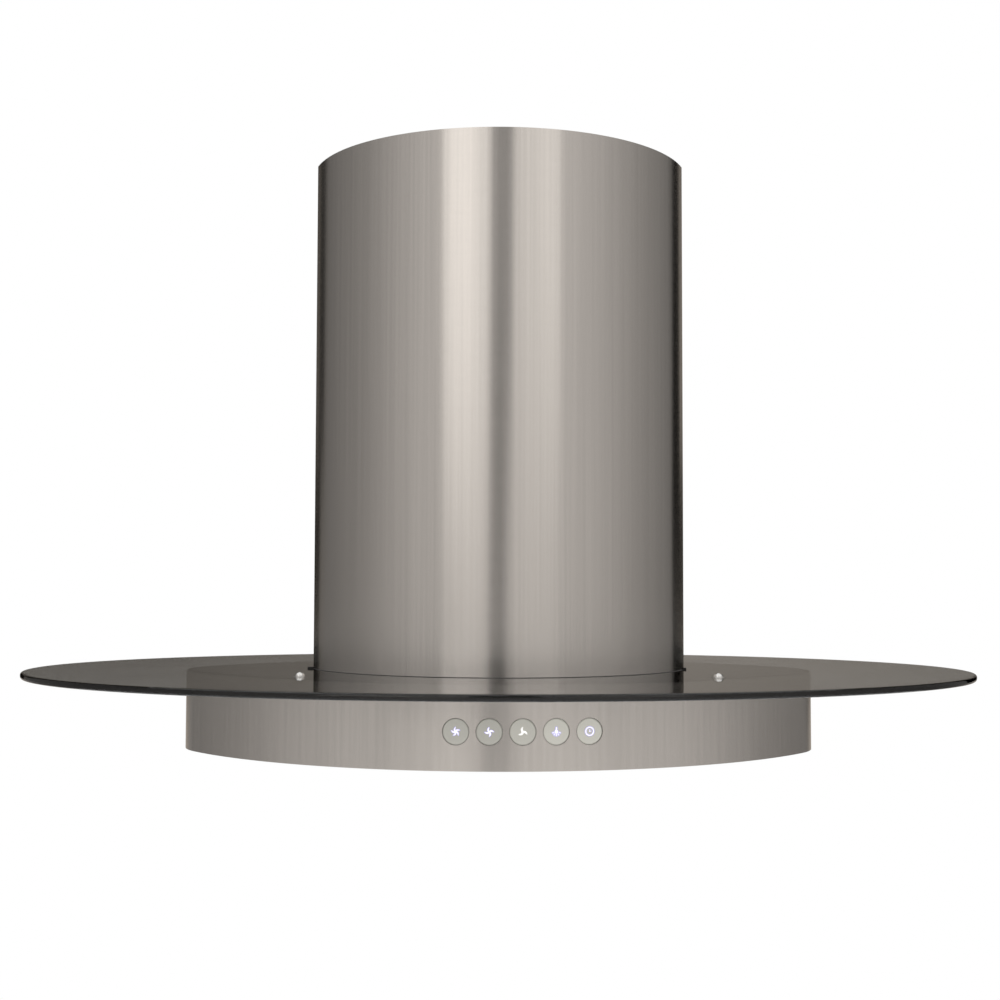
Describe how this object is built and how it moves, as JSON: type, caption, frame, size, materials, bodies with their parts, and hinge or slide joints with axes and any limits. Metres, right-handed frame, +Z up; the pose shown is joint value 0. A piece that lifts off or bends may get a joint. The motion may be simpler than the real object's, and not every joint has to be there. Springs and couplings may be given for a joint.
{
  "type": "glass canopy range hood",
  "caption": "Island range hood with an oval smoked glass canopy, a curved steel chimney that telescopes, grease filters, lamps and push buttons.",
  "frame": {"origin": "centre of the ceiling plate's top face, where the hood is screwed to the ceiling", "axes": "+X along the width, to the right seen from the buttons; -Y is the front with the buttons; +Z up"},
  "size_m": [0.762, 0.5278, 0.4779],
  "materials": {
    "smoked_glass": "polished smoked toughened glass",
    "cover_steel": "vertically brushed stainless steel",
    "body_steel": "brushed stainless steel",
    "galvanised_steel": "galvanised sheet, matt spangle",
    "screw_steel": "bright steel",
    "seal_rubber": "black rubber",
    "mesh_aluminium": "satin aluminium",
    "button_face": "satin light grey",
    "black_plastic": "black moulded plastic",
    "grey_plastic": "grey moulded plastic",
    "board_green": "green board lacquer",
    "lamp_glass": "frosted glass",
    "motor_black": "black enamel"
  },
  "bodies": {
    "ceiling_frame": {"ceiling_plate": "galvanised_steel", "upper_posts": "galvanised_steel", "post_lock_screws": "screw_steel", "upper_chimney_brackets": "galvanised_steel", "upper_chimney_front": "cover_steel", "upper_chimney_back": "cover_steel"},
    "hood": {"lower_posts": "galvanised_steel", "frame_screws": "screw_steel", "chimney_front": "cover_steel", "chimney_back": "cover_steel", "chimney_seal": "seal_rubber", "chimney_brackets": "galvanised_steel", "glass_canopy": "smoked_glass", "glass_screws": "screw_steel", "glass_washers": "seal_rubber", "glass_pad": "seal_rubber", "fascia_front": "body_steel", "fascia_back": "body_steel", "top_deck": "body_steel", "bottom_tray": "body_steel", "tray_screws": "screw_steel", "blower_box": "galvanised_steel", "scroll_band": "galvanised_steel", "scroll_side_left": "galvanised_steel", "scroll_side_right": "galvanised_steel", "inlet_rings": "black_plastic", "motor_can": "motor_black", "motor_bearings": "screw_steel", "motor_bracket": "galvanised_steel", "motor_mounts": "seal_rubber", "outlet_collar": "black_plastic", "damper_pins": "screw_steel", "terminal_box": "grey_plastic", "terminal_box_lid": "grey_plastic", "cable_gland": "black_plastic", "capacitor": "grey_plastic", "capacitor_clamp": "galvanised_steel", "lamp_driver": "grey_plastic", "lamp_bezels": "screw_steel", "lamp_lenses": "lamp_glass", "lamp_housings": "mesh_aluminium", "filter_catches": "screw_steel", "button_holder": "black_plastic", "button_switches": "black_plastic", "control_board": "board_green"},
    "impeller_body": {"impeller": "galvanised_steel", "motor_shaft": "screw_steel"},
    "damper_left": {"damper_flap_left": "black_plastic"},
    "damper_right": {"damper_flap_right": "black_plastic"},
    "filter_left": {"filter_frame_left": "mesh_aluminium", "filter_mesh_left": "mesh_aluminium"},
    "filter_right": {"filter_frame_right": "mesh_aluminium", "filter_mesh_right": "mesh_aluminium"},
    "handle_left": {"filter_handle_left": "screw_steel"},
    "handle_right": {"filter_handle_right": "screw_steel"},
    "fan_high_key": {"button_fan_high": "button_face"},
    "fan_medium_key": {"button_fan_medium": "button_face"},
    "fan_low_key": {"button_fan_low": "button_face"},
    "lamp_key": {"button_lamp": "button_face"},
    "timer_key": {"button_timer": "button_face"}
  },
  "joints": [
    {"name": "height_adjust", "type": "slide", "parent": "ceiling_frame", "child": "hood", "axis": [0, 0, -1], "range_m": [0, 0.25]},
    {"name": "impeller_spin", "type": "hinge", "parent": "hood", "child": "impeller_body", "pos_m": [0, -0.012, -0.2967], "axis": [1, 0, 0], "continuous": true},
    {"name": "damper_left_swing", "type": "hinge", "parent": "hood", "child": "damper_left", "pos_m": [-0.004, 0, -0.1707], "axis": [0, 1, 0], "range_deg": [0, 78]},
    {"name": "damper_right_swing", "type": "hinge", "parent": "hood", "child": "damper_right", "pos_m": [0.004, 0, -0.1707], "axis": [0, -1, 0], "range_deg": [0, 78]},
    {"name": "filter_left_tilt", "type": "hinge", "parent": "hood", "child": "filter_left", "pos_m": [-0.0795, 0.0976, -0.4767], "axis": [1, 0, 0], "range_deg": [0, 80]},
    {"name": "handle_left_swing", "type": "hinge", "parent": "filter_left", "child": "handle_left", "pos_m": [-0.0795, -0.058, -0.4745], "axis": [-1, 0, 0], "range_deg": [0, 90]},
    {"name": "filter_right_tilt", "type": "hinge", "parent": "hood", "child": "filter_right", "pos_m": [0.0795, 0.0976, -0.4767], "axis": [1, 0, 0], "range_deg": [0, 80]},
    {"name": "handle_right_swing", "type": "hinge", "parent": "filter_right", "child": "handle_right", "pos_m": [0.0795, -0.058, -0.4745], "axis": [-1, 0, 0], "range_deg": [0, 90]},
    {"name": "fan_high_press", "type": "slide", "parent": "hood", "child": "fan_high_key", "axis": [0.1003, 0.995, 0], "range_m": [0, 0.0012], "stiffness_N_per_m": 1200},
    {"name": "fan_medium_press", "type": "slide", "parent": "hood", "child": "fan_medium_key", "axis": [0.0213, 0.9998, 0], "range_m": [0, 0.0012], "stiffness_N_per_m": 1200},
    {"name": "fan_low_press", "type": "slide", "parent": "hood", "child": "fan_low_key", "axis": [-0.0578, 0.9983, 0], "range_m": [0, 0.0012], "stiffness_N_per_m": 1200},
    {"name": "lamp_press", "type": "slide", "parent": "hood", "child": "lamp_key", "axis": [-0.1369, 0.9906, 0], "range_m": [0, 0.0012], "stiffness_N_per_m": 1200},
    {"name": "timer_press", "type": "slide", "parent": "hood", "child": "timer_key", "axis": [-0.2159, 0.9764, 0], "range_m": [0, 0.0012], "stiffness_N_per_m": 1200}
  ]
}
